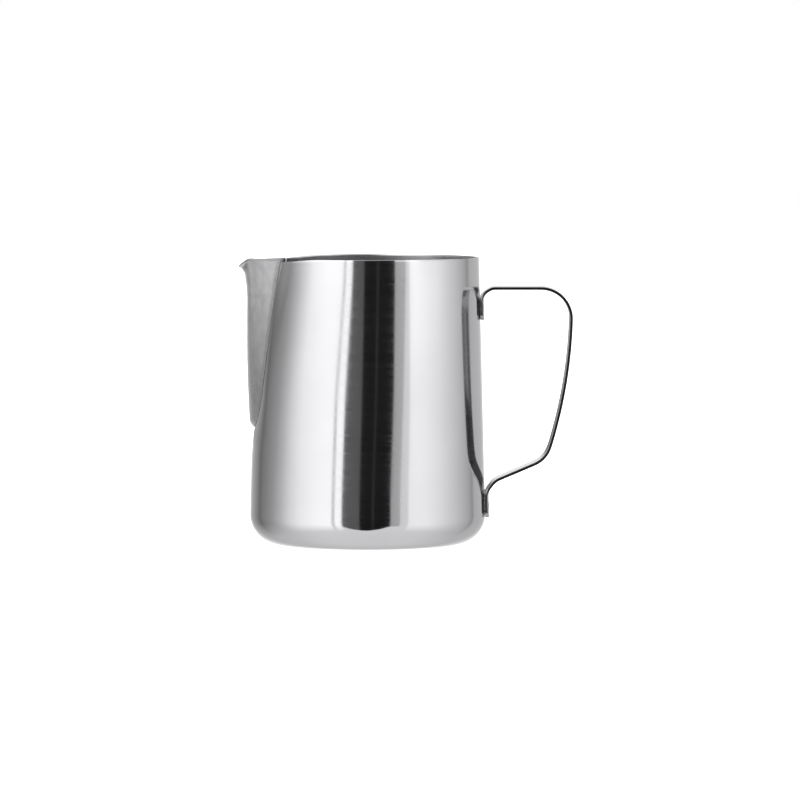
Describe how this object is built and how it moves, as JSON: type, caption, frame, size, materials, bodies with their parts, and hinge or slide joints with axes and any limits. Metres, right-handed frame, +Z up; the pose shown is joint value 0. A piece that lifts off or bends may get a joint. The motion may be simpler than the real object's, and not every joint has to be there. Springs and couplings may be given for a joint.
{
  "type": "milk frothing pitcher",
  "caption": "Slightly tapered steel pitcher with a welded V-shaped pouring spout, rolled base corner and a bent strap handle on the opposite side.",
  "frame": {"origin": "centre of the flat underside of the base, on the cup's axis", "axes": "+Z up the cup's axis, -X towards the spout, +X towards the handle, +Y across the cup"},
  "size_m": [0.1261, 0.089, 0.108],
  "materials": {
    "polished_steel": "bright polished outside with fine rings, plain drawn inside",
    "satin_steel": "satin",
    "strip_steel": "polished strip with tumbled edges",
    "weld_steel": "welded and brushed"
  },
  "bodies": {
    "root": {"body_shell": "polished_steel", "spout": "satin_steel", "spout_seam_weld": "weld_steel", "handle_strap": "strip_steel", "upper_spot_weld_left": "weld_steel", "upper_spot_weld_right": "weld_steel", "lower_spot_weld_left": "weld_steel", "lower_spot_weld_right": "weld_steel"}
  },
  "joints": []
}
